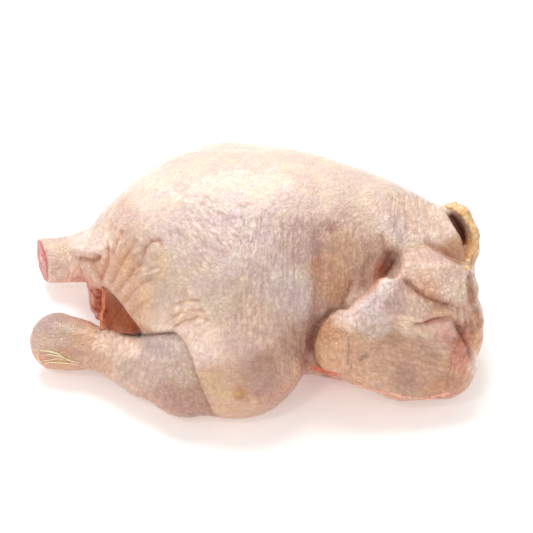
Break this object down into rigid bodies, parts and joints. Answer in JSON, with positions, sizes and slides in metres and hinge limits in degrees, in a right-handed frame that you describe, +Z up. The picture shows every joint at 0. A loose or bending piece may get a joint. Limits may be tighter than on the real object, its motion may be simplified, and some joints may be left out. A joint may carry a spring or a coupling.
{
  "type": "whole raw chicken",
  "caption": "Whole raw chicken, plucked and drawn, lying on its breast with the back up, drumsticks stretched out behind and the wings folded.",
  "frame": {"origin": "centre of the bounding box, on the floor that the bird lies on", "axes": "+X from the tail to the neck, the longest extent; +Z up, out of the bird's back; the side seen in the picture faces -Y"},
  "size_m": [0.271, 0.1938, 0.1196],
  "materials": {
    "skin": "moist raw poultry skin, pale peach and pink, half matte with small wet highlights"
  },
  "bodies": {
    "root": {"chicken": "skin"}
  },
  "joints": []
}
